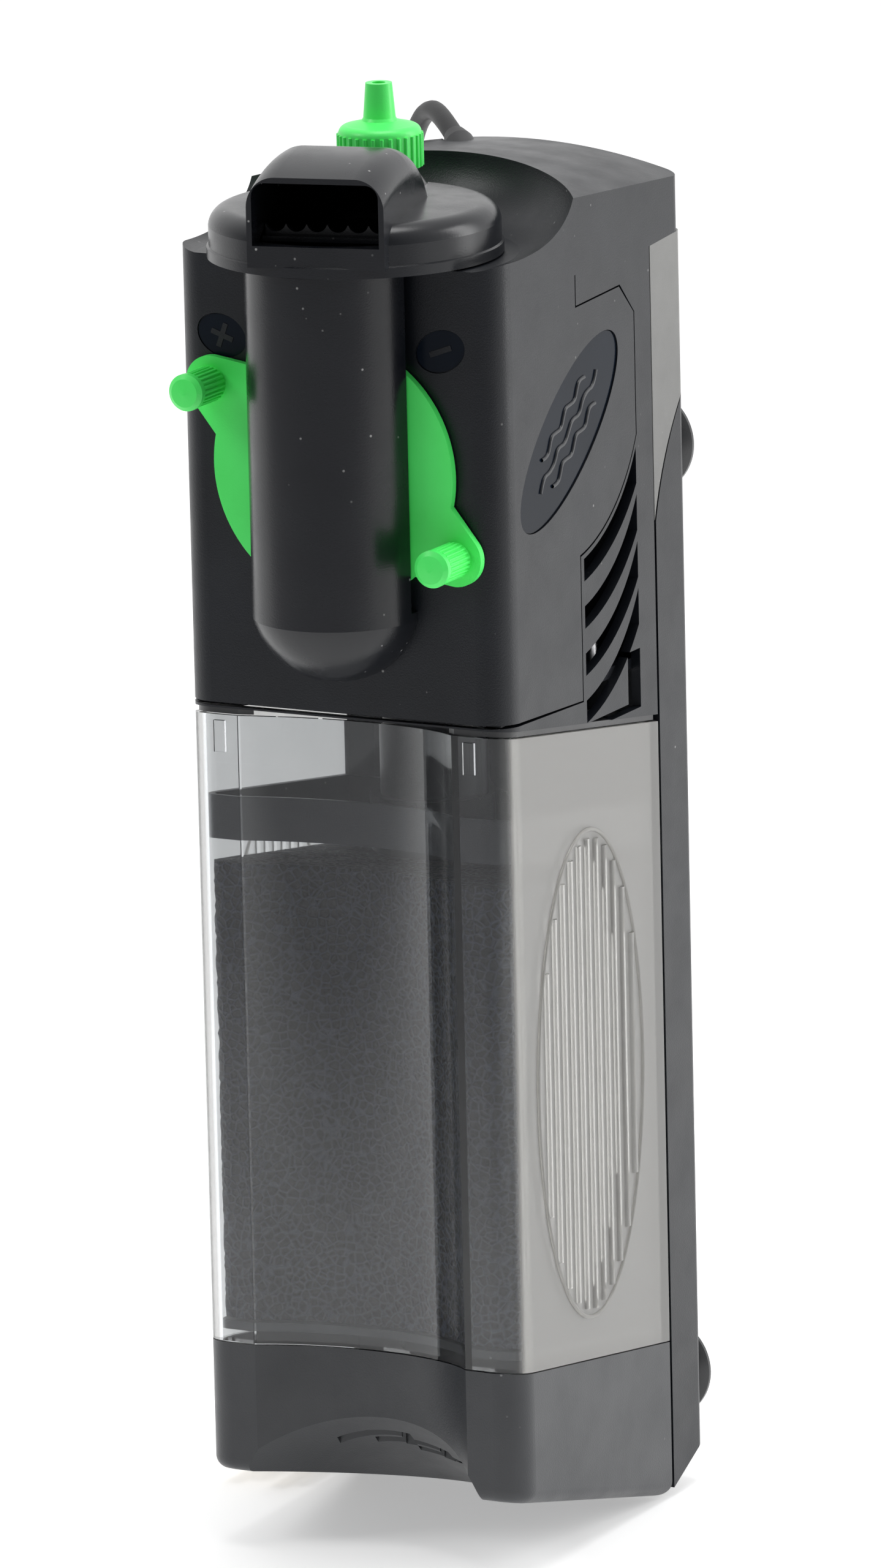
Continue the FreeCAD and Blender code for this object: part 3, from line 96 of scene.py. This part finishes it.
# ------------------------------------------------------------------ materials
class Nodes:
    """Short calls for one material's node tree."""

    def __init__(self, name):
        self.material = bpy.data.materials.new(name)
        self.material.use_nodes = True
        self.tree = self.material.node_tree
        self.shader = self.tree.nodes["Principled BSDF"]
        self.space = self.tree.nodes.new("ShaderNodeTexCoord").outputs["Object"]

    def set(self, **values):
        for name, value in values.items():
            self.shader.inputs[name.replace("_", " ")].default_value = value
        return self

    def link(self, output, target):
        self.tree.links.new(output, target)

    def mapped(self, scale):
        node = self.tree.nodes.new("ShaderNodeMapping")
        node.inputs["Scale"].default_value = scale
        self.link(self.space, node.inputs["Vector"])
        return node.outputs["Vector"]

    def noise(self, scale, detail=3.0, roughness=0.55, space=None):
        node = self.tree.nodes.new("ShaderNodeTexNoise")
        node.inputs["Scale"].default_value = scale
        node.inputs["Detail"].default_value = detail
        node.inputs["Roughness"].default_value = roughness
        self.link(space or self.space, node.inputs["Vector"])
        return node.outputs["Fac"]

    def coordinate(self, axis):
        """One object-space coordinate's distance from the middle."""
        split = self.tree.nodes.new("ShaderNodeSeparateXYZ")
        self.link(self.space, split.inputs[0])
        size = self.tree.nodes.new("ShaderNodeMath")
        size.operation = "ABSOLUTE"
        self.link(split.outputs[axis], size.inputs[0])
        return size.outputs[0]

    def cells(self, scale, feature="F1", space=None):
        node = self.tree.nodes.new("ShaderNodeTexVoronoi")
        node.feature = feature
        node.inputs["Scale"].default_value = scale
        self.link(space or self.space, node.inputs["Vector"])
        return node.outputs["Distance"]

    def ramp(self, value, low, high, low_to, high_to):
        node = self.tree.nodes.new("ShaderNodeMapRange")
        for name, number in (("From Min", low), ("From Max", high), ("To Min", low_to),
                             ("To Max", high_to)):
            node.inputs[name].default_value = number
        self.link(value, node.inputs["Value"])
        return node.outputs["Result"]

    def blend(self, fac, low, high):
        node = self.tree.nodes.new("ShaderNodeMix")
        node.data_type = "RGBA"
        for socket, colour in ((6, low), (7, high)):
            if isinstance(colour, tuple):
                node.inputs[socket].default_value = (*colour, 1)
            else:
                self.link(colour, node.inputs[socket])
        self.link(fac, node.inputs[0])
        return node.outputs[2]

    def bump(self, height, distance, strength=1.0, under=None):
        node = self.tree.nodes.new("ShaderNodeBump")
        node.inputs["Strength"].default_value = strength
        node.inputs["Distance"].default_value = distance
        self.link(height, node.inputs["Height"])
        if under:
            self.link(under, node.inputs["Normal"])
        return node.outputs["Normal"]

    def finish(self, colour=None, rough=None, normal=None):
        for output, name in ((colour, "Base Color"), (rough, "Roughness"), (normal, "Normal")):
            if output:
                self.link(output, self.shader.inputs[name])
        return self.material


def moulded(name, dark, light, rough, grain=0.00006, grain_scale=2600, dust=0.0, specular=0.5):
    """Moulded plastic: a fine spark-eroded grain, cloudy gloss, and a few specks of dust."""
    n = Nodes(name).set(Specular_IOR_Level=specular)
    colour = n.blend(n.ramp(n.noise(38, 4), 0.35, 0.65, 0, 1), dark, light)
    if dust:
        spots = n.ramp(n.cells(210), 0.035, 0.075, dust, 0)
        patches = n.ramp(n.noise(22, 2), 0.5, 0.62, 0, 1)
        mask = n.tree.nodes.new("ShaderNodeMath")
        mask.operation = "MULTIPLY"
        n.link(spots, mask.inputs[0])
        n.link(patches, mask.inputs[1])
        colour = n.blend(mask.outputs[0], colour, (0.55, 0.55, 0.54))
    gloss = n.ramp(n.noise(95, 4), 0.3, 0.7, rough - 0.05, rough + 0.06)
    normal = n.bump(n.noise(grain_scale, 2, 0.7), grain, 0.8)
    return n.finish(colour, gloss, n.bump(n.noise(60, 2), 0.00012, 0.25, normal))


def make_clear():
    """Clear plastic with flow marks and fine scratches; its outer side panels are frosted."""
    n = Nodes("clear_container").set(IOR=1.47, Specular_IOR_Level=0.5)
    side = n.ramp(n.coordinate("X"), 0.0384, 0.0392, 0, 1)
    haze = n.blend(n.ramp(n.noise(14, 3), 0.35, 0.7, 0, 1), (0.76, 0.78, 0.80), (0.86, 0.88, 0.90))
    scratches = n.ramp(n.noise(260, 4, 0.6, n.mapped((7, 7, 0.5))), 0.45, 0.75, 0.02, 0.07)
    frost = n.blend(side, scratches, (0.34, 0.34, 0.34))
    n.link(n.ramp(side, 0, 1, 0.985, 0.80), n.shader.inputs["Transmission Weight"])
    waves = n.bump(n.noise(24, 2, 0.4, n.mapped((1, 1, 0.35))), 0.0006, 0.3)
    return n.finish(n.blend(side, haze, (0.74, 0.73, 0.70)), frost, waves)


def make_foam():
    """Open-cell foam: thin webs of the foam's own colour around pores painted dark as shade in the holes.
    """
    n = Nodes("filter_foam").set(Specular_IOR_Level=0.35)
    web = n.cells(500, "DISTANCE_TO_EDGE")
    fine = n.cells(900, "DISTANCE_TO_EDGE")
    # The near-black pore colour is painted shade inside the foam's holes; the blue-grey is the webs' own
    # colour.
    colour = n.blend(n.ramp(web, 0.03, 0.16, 1, 0), (0.002, 0.002, 0.003), (0.050, 0.062, 0.090))
    normal = n.bump(n.ramp(web, 0, 0.2, 1, 0), 0.0012, 0.9, n.bump(n.ramp(fine, 0, 0.2, 1, 0), 0.0004, 0.5))
    return n.finish(colour, n.ramp(n.noise(120), 0.3, 0.7, 0.42, 0.6), normal)


def make_metal(name, dark, light, rough, stretch=(1, 1, 1), scale=900):
    """Metal with fine drawn or ground lines."""
    n = Nodes(name).set(Metallic=1.0)
    lines = n.noise(scale, 4, 0.6, n.mapped(stretch))
    gloss = n.ramp(lines, 0.3, 0.7, rough - 0.06, rough + 0.1)
    return n.finish(n.blend(lines, dark, light), gloss, n.bump(lines, 0.00004, 0.5))


def make_materials():
    return {
        "black_plastic": moulded("black_plastic", (0.0048, 0.0060, 0.0088), (0.0080, 0.0096, 0.0135), 0.34,
                                 dust=0.45, specular=0.38),
        "nozzle_plastic": moulded("nozzle_plastic", (0.0048, 0.0058, 0.0085), (0.0078, 0.0090, 0.0120),
                                  0.24, grain=0.00003, dust=0.6, specular=0.46),
        "base_plastic": moulded("base_plastic", (0.022, 0.024, 0.028), (0.031, 0.033, 0.037), 0.34,
                                dust=0.3),
        "badge_plastic": moulded("badge_plastic", (0.003, 0.006, 0.012), (0.006, 0.010, 0.018), 0.16,
                                 grain=0.00001, specular=0.12),
        "green_plastic": moulded("green_plastic", (0.075, 0.880, 0.140), (0.090, 0.950, 0.170), 0.36,
                                 grain=0.00004),
        "rubber": moulded("cord_rubber", (0.012, 0.012, 0.013), (0.020, 0.020, 0.022), 0.50, grain=0.00005),
        # A light grey copy of the black plastic, as painted reflection: the rear cover's side catches the
        # bright tent at a grazing angle, and that sheen is painted into its colour. Its dust specks are
        # real dust.
        "rear_cover_painted_sheen": moulded("rear_cover_painted_sheen", (0.150, 0.150, 0.145), (0.190, 0.190, 0.183), 0.40,
                                 dust=0.3),
        "soft_rubber": moulded("soft_rubber", (0.030, 0.031, 0.033), (0.045, 0.046, 0.048), 0.30,
                               grain=0.00003),
        "resin": moulded("potting_resin", (0.010, 0.010, 0.012), (0.018, 0.018, 0.020), 0.22,
                         grain=0.00002),
        "white_plastic": moulded("white_plastic", (0.68, 0.69, 0.68), (0.78, 0.79, 0.78), 0.42),
        "ferrite": moulded("ferrite", (0.030, 0.030, 0.033), (0.050, 0.050, 0.053), 0.45, grain=0.00008),
        "core_steel": make_metal("core_steel", (0.30, 0.30, 0.31), (0.48, 0.48, 0.49), 0.40,
                                 (0.02, 0.02, 1), 2500),
        "copper": make_metal("copper_wire", (0.62, 0.28, 0.14), (0.85, 0.44, 0.26), 0.30, (0.02, 1, 0.02),
                             2500),
        "steel": make_metal("bright_steel", (0.55, 0.55, 0.56), (0.72, 0.72, 0.73), 0.28),
        "brass": make_metal("brass", (0.72, 0.55, 0.26), (0.86, 0.70, 0.40), 0.25, (0.03, 1, 1)),
        "smoke_clear": make_clear(),
        "foam": make_foam(),
    }


def dress_nodes(materials):
    """Give every CAD node its procedural material."""
    slots = {s["node"]: s["material_slot"] for s in frame["record"]["subparts"]}
    for name, node in NODES.items():
        if not node.material_slots:
            node.data.materials.append(None)
        for slot in node.material_slots:
            # The rear cover gets the light grey painted-reflection plastic in place of its own black
            # plastic.
            slot.material = materials["rear_cover_painted_sheen" if name == "rear_cover" else slots[name]]


# ------------------------------------------------------------------ pieces
FRONT_Y = -100.0
JOINT_DROP, JOINT_RUN = 11.5, 75
SIDES = (("right", 1), ("left", -1))


def add_mesh(name, vertices, faces, material, smooth=True):
    mesh = bpy.data.meshes.new(name)
    mesh.from_pydata([tuple(v) for v in vertices], [], faces)
    mesh.validate()
    piece = bpy.data.objects.new(name, mesh)
    bpy.context.scene.collection.objects.link(piece)
    mesh.materials.append(material)
    mesh.shade_smooth() if smooth else mesh.shade_flat()
    return piece


def sponge_outline(step):
    """The sponge's plan, in millimetres: a rounded block with the container's recess in its front."""
    half, front, back, corner = 37.2, -97.2, -27.8, 5.0
    radius, centre_y = 38.1, -123.3
    reach = math.sqrt(radius ** 2 - (front - centre_y) ** 2)
    key = [(reach, front)]
    for cx, cy, start in ((half - corner, front + corner, -90), (half - corner, back - corner, 0),
                          (-half + corner, back - corner, 90), (-half + corner, front + corner, 180)):
        key += [(cx + corner * math.cos(math.radians(start + a)),
                 cy + corner * math.sin(math.radians(start + a)))
                for a in range(0, 91, 15)]
    key.append((-reach, front))
    open_angle = math.asin(reach / radius)
    key += [(radius * math.sin(a), centre_y + radius * math.cos(a))
            for a in np.linspace(-open_angle, open_angle, 30)[1:-1]]
    points = []
    for (ax, ay), (bx, by) in zip(key, key[1:] + key[:1]):
        parts = max(1, round(math.hypot(bx - ax, by - ay) / step))
        points += [(ax + (bx - ax) * i / parts, ay + (by - ay) * i / parts) for i in range(parts)]
    return points


def make_sponge(material):
    """The foam block, with a ragged cut surface."""
    rng = np.random.default_rng(5)
    spacing, rows = 1.3, 90
    low_z, height = -77.6, 105.2
    deepest, proudest = -0.45, 0.15
    outline = np.array(sponge_outline(spacing))
    middle = np.array([0.0, -60.0])
    vertices = []
    for row in range(rows + 1):
        level = row / rows
        ragged = rng.uniform(deepest, proudest, len(outline))
        inward = (outline - middle) / np.linalg.norm(outline - middle, axis=1)[:, None]
        plan = outline + inward * ragged[:, None]
        slope = -JOINT_DROP * (plan[:, 1] - FRONT_Y) / JOINT_RUN
        z = low_z + slope + (height * level)
        vertices += [mm(x, y, h) for (x, y), h in zip(plan, z)]
    count = len(outline)
    faces = [(r * count + i, r * count + (i + 1) % count, (r + 1) * count + (i + 1) % count,
              (r + 1) * count + i)
             for r in range(rows) for i in range(count)]
    faces.append(tuple(reversed(range(count))))
    faces.append(tuple(range(rows * count, (rows + 1) * count)))
    sponge = add_mesh("foam_block", vertices, faces, material)
    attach(sponge, "container")
    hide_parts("sponge")


def bent_wire(name, places, thickness, material, closed=False):
    """A round wire through some places."""
    curve = bpy.data.curves.new(name, "CURVE")
    curve.dimensions = "3D"
    curve.bevel_depth = thickness * MM
    curve.bevel_resolution = 3
    spline = curve.splines.new("NURBS")
    spline.points.add(len(places) - 1)
    for point, place in zip(spline.points, places):
        point.co = (*place, 1)
    spline.order_u = 3
    spline.use_endpoint_u = not closed
    spline.use_cyclic_u = closed
    wire = bpy.data.objects.new(name, curve)
    bpy.context.scene.collection.objects.link(wire)
    curve.materials.append(material)
    return wire


def make_grip_rims(material):
    """A fine raised oval round the ribs of each side of the container."""
    skin, centre_y, centre_z = 40.05, -62, -23
    half_width, half_height, steps = 26.0, 56.0, 48
    for side, outward in SIDES:
        places = []
        for step in range(steps):
            angle = math.tau * step / steps
            places.append(mm(outward * skin, centre_y + half_width * math.cos(angle),
                             centre_z + half_height * math.sin(angle)))
        rim = bent_wire(f"grip_rim_{side}", places, 0.5, material, closed=True)
        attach(rim, "container")


def make_sign_discs(material):
    """A thin polished oval on the floor of each flow sign's recess."""
    sign_z, face_y, back_y = 147.2, -99.72, -99.45
    half_long, half_short, steps = 6.05, 4.55, 40
    for name, x, tilt in (("plus", -28, -20), ("minus", 26, 20)):
        turn, edge = math.radians(tilt), []
        for step in range(steps):
            angle = math.tau * step / steps
            along, across = half_long * math.cos(angle), half_short * math.sin(angle)
            edge.append((x + along * math.cos(turn) - across * math.sin(turn),
                         sign_z + along * math.sin(turn) + across * math.cos(turn)))
        vertices = [mm(px, y, pz) for y in (face_y, back_y) for px, pz in edge]
        faces = [tuple(range(steps)), tuple(reversed(range(steps, 2 * steps)))]
        faces += [(i, i + steps, (i + 1) % steps + steps, (i + 1) % steps) for i in range(steps)]
        disc = add_mesh(f"sign_disc_{name}", vertices, faces, material, smooth=False)
        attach(disc, "filter")


def make_wave_marks(material):
    """Three raised waves on each side's oval badge, a generic sign for water."""
    tilt = math.radians(36)
    skin, centre_y, centre_z = 39.68, -66, 124
    row_gap, swing, bends, steps = 4.2, 1.1, 0.75, 12
    for side, outward in SIDES:
        for row in (-1, 0, 1):
            reach = 13.0 if row else 18.0
            places = []
            for step in range(steps + 1):
                along = -reach + 2 * reach * step / steps
                over = row_gap * row + swing * math.sin(along * bends)
                y = centre_y + along * math.cos(tilt) - over * math.sin(tilt)
                z = centre_z + along * math.sin(tilt) + over * math.cos(tilt)
                places.append(mm(outward * skin, y, z))
            wave = bent_wire(f"badge_wave_{side}_{row + 1}", places, 0.45, material)
            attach(wave, "filter")


# ------------------------------------------------------------------ cord
COIL = (-22.0, 40.0, -124.0)
COIL_RADIUS, COIL_SINK = 25, 0.4
CORD_RADIUS = 2.25
ROUTE = [
    (-8.5, -18, 174.2), (-22.8, -3, 181.5), (-31, 5.6, 179.8), (-37.8, 12.7, 172.9), (-41.7, 16.8, 162.3),
    (-40.5, 18.8, 142.5), (-36, 21.5, 104), (-28, 22.5, 52), (-19, 19, 2), (-9, 14.5, -42),
    (-1, 11.5, -76), (2, 12.5, -100), (3.5, 21, -118), (3.5, 37, -126.4),
]
TAIL = [(-46, 46, -118.5), (-51, 36, -119), (-53, 27, -122), (-53, 20, -124.2), (-53, 10, -124.4)]
STRANDS = [(2.25, -3.9), (-2.25, -3.9), (-4.5, 0.0), (0.0, 0.0), (4.5, 0.0), (2.25, 3.9), (-2.25, 3.9)]


def coil_points():
    """Six tied turns: each turn moves over to the next strand's place in its last third."""
    points = []
    first, last, per_turn = 22.0, 6 * 360 + 140.0, 16
    move_from, move_share = 0.62, 0.3
    steps = round((last - first) / 360 * per_turn)
    for step in range(steps + 1):
        angle = first + (last - first) * step / steps
        turn, part = divmod(angle / 360, 1)
        now, after = STRANDS[int(turn)], STRANDS[min(int(turn) + 1, len(STRANDS) - 1)]
        move = min(max((part - move_from) / move_share, 0), 1)
        out = now[0] + (after[0] - now[0]) * move
        high = now[1] + (after[1] - now[1]) * move
        turned = math.radians(angle)
        points.append((COIL[0] + (COIL_RADIUS + out) * math.cos(turned),
                       COIL[1] + (COIL_RADIUS + out) * math.sin(turned), COIL[2] - COIL_SINK + high))
    return points


def make_cord(material):
    """The mains cord, as one curve from the gland to the plug."""
    places = [mm(*p) for p in ROUTE + coil_points() + TAIL]
    cord = bent_wire("mains_cord", places, CORD_RADIUS, material)
    cord.data.bevel_resolution = 6
    cord.data.use_fill_caps = True
    cord.data.resolution_u = 8
    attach(cord, "filter")
    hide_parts("power_cord", "cord_coil")


# ------------------------------------------------------------------ stage
def make_floor():
    """A white floor, glowing a little as paper lit from below, with painted shade darkening it well in
    front.
    """
    n = Nodes("pale_floor").set(Specular_IOR_Level=0.2, Emission_Strength=0.46)
    split = n.tree.nodes.new("ShaderNodeSeparateXYZ")
    n.link(n.space, split.inputs[0])
    # Painted shade: towards -Y the floor's colour, and so its glow, falls from white paper to grey.
    painted_shade_ramp = n.ramp(split.outputs["Y"], -0.62, -0.34, 0, 1)
    paper = n.blend(n.noise(3, 2), (0.83, 0.83, 0.83), (0.86, 0.86, 0.86))
    colour = n.blend(painted_shade_ramp, (0.40, 0.40, 0.41), paper)
    n.link(colour, n.shader.inputs["Emission Color"])
    material = n.finish(colour, n.ramp(n.noise(40), 0.3, 0.7, 0.5, 0.6),
                        n.bump(n.noise(900, 2), 0.00005, 0.2))
    size, low = 6.0, CAD_BOX[0][2] - 0.0002
    floor = add_mesh("floor",
                     [(-size, -size, low), (size, -size, low), (size, size, low), (-size, size, low)],
                     [(0, 1, 2, 3)], material, smooth=False)


def make_world():
    """A white tent that is darker on the camera's side."""
    world = bpy.data.worlds.new("tent")
    bpy.context.scene.world = world
    world.use_nodes = True
    tree = world.node_tree
    space = tree.nodes.new("ShaderNodeTexCoord")
    split = tree.nodes.new("ShaderNodeSeparateXYZ")
    depth = tree.nodes.new("ShaderNodeMapRange")
    for name, number in (("From Min", -0.55), ("From Max", 0.25), ("To Min", 0.16), ("To Max", 1.0)):
        depth.inputs[name].default_value = number
    tree.links.new(space.outputs["Generated"], split.inputs[0])
    tree.links.new(split.outputs["Y"], depth.inputs["Value"])
    tree.links.new(depth.outputs["Result"], tree.nodes["Background"].inputs["Strength"])
    tree.nodes["Background"].inputs["Color"].default_value = (1, 1, 1, 1)


def add_light(name, place, aim, size, power):
    data = bpy.data.lights.new(name, "AREA")
    data.shape = "RECTANGLE"
    data.size, data.size_y = size
    data.energy = power
    light = bpy.data.objects.new(name, data)
    bpy.context.scene.collection.objects.link(light)
    light.location = place
    light.rotation_euler = (Vector(aim) - Vector(place)).to_track_quat("-Z", "Y").to_euler()


def make_lights():
    add_light("key", (-0.9, -0.9, 1.1), (0, -0.05, 0.05), (0.6, 0.6), 6)
    add_light("top", (0.1, -0.1, 1.3), (0, -0.05, 0.1), (0.8, 0.6), 7)
    add_light("side", (1.1, 0.7, 0.5), (0, -0.05, 0.0), (0.5, 1.2), 8)


make_camera()
MATERIALS = make_materials()
make_cord(MATERIALS["rubber"])
dress_nodes(MATERIALS)
make_sponge(MATERIALS["foam"])
make_wave_marks(MATERIALS["base_plastic"])
make_grip_rims(MATERIALS["smoke_clear"])
make_sign_discs(MATERIALS["badge_plastic"])
make_floor()
make_world()
make_lights()
bpy.context.scene.view_settings.view_transform = "Standard"
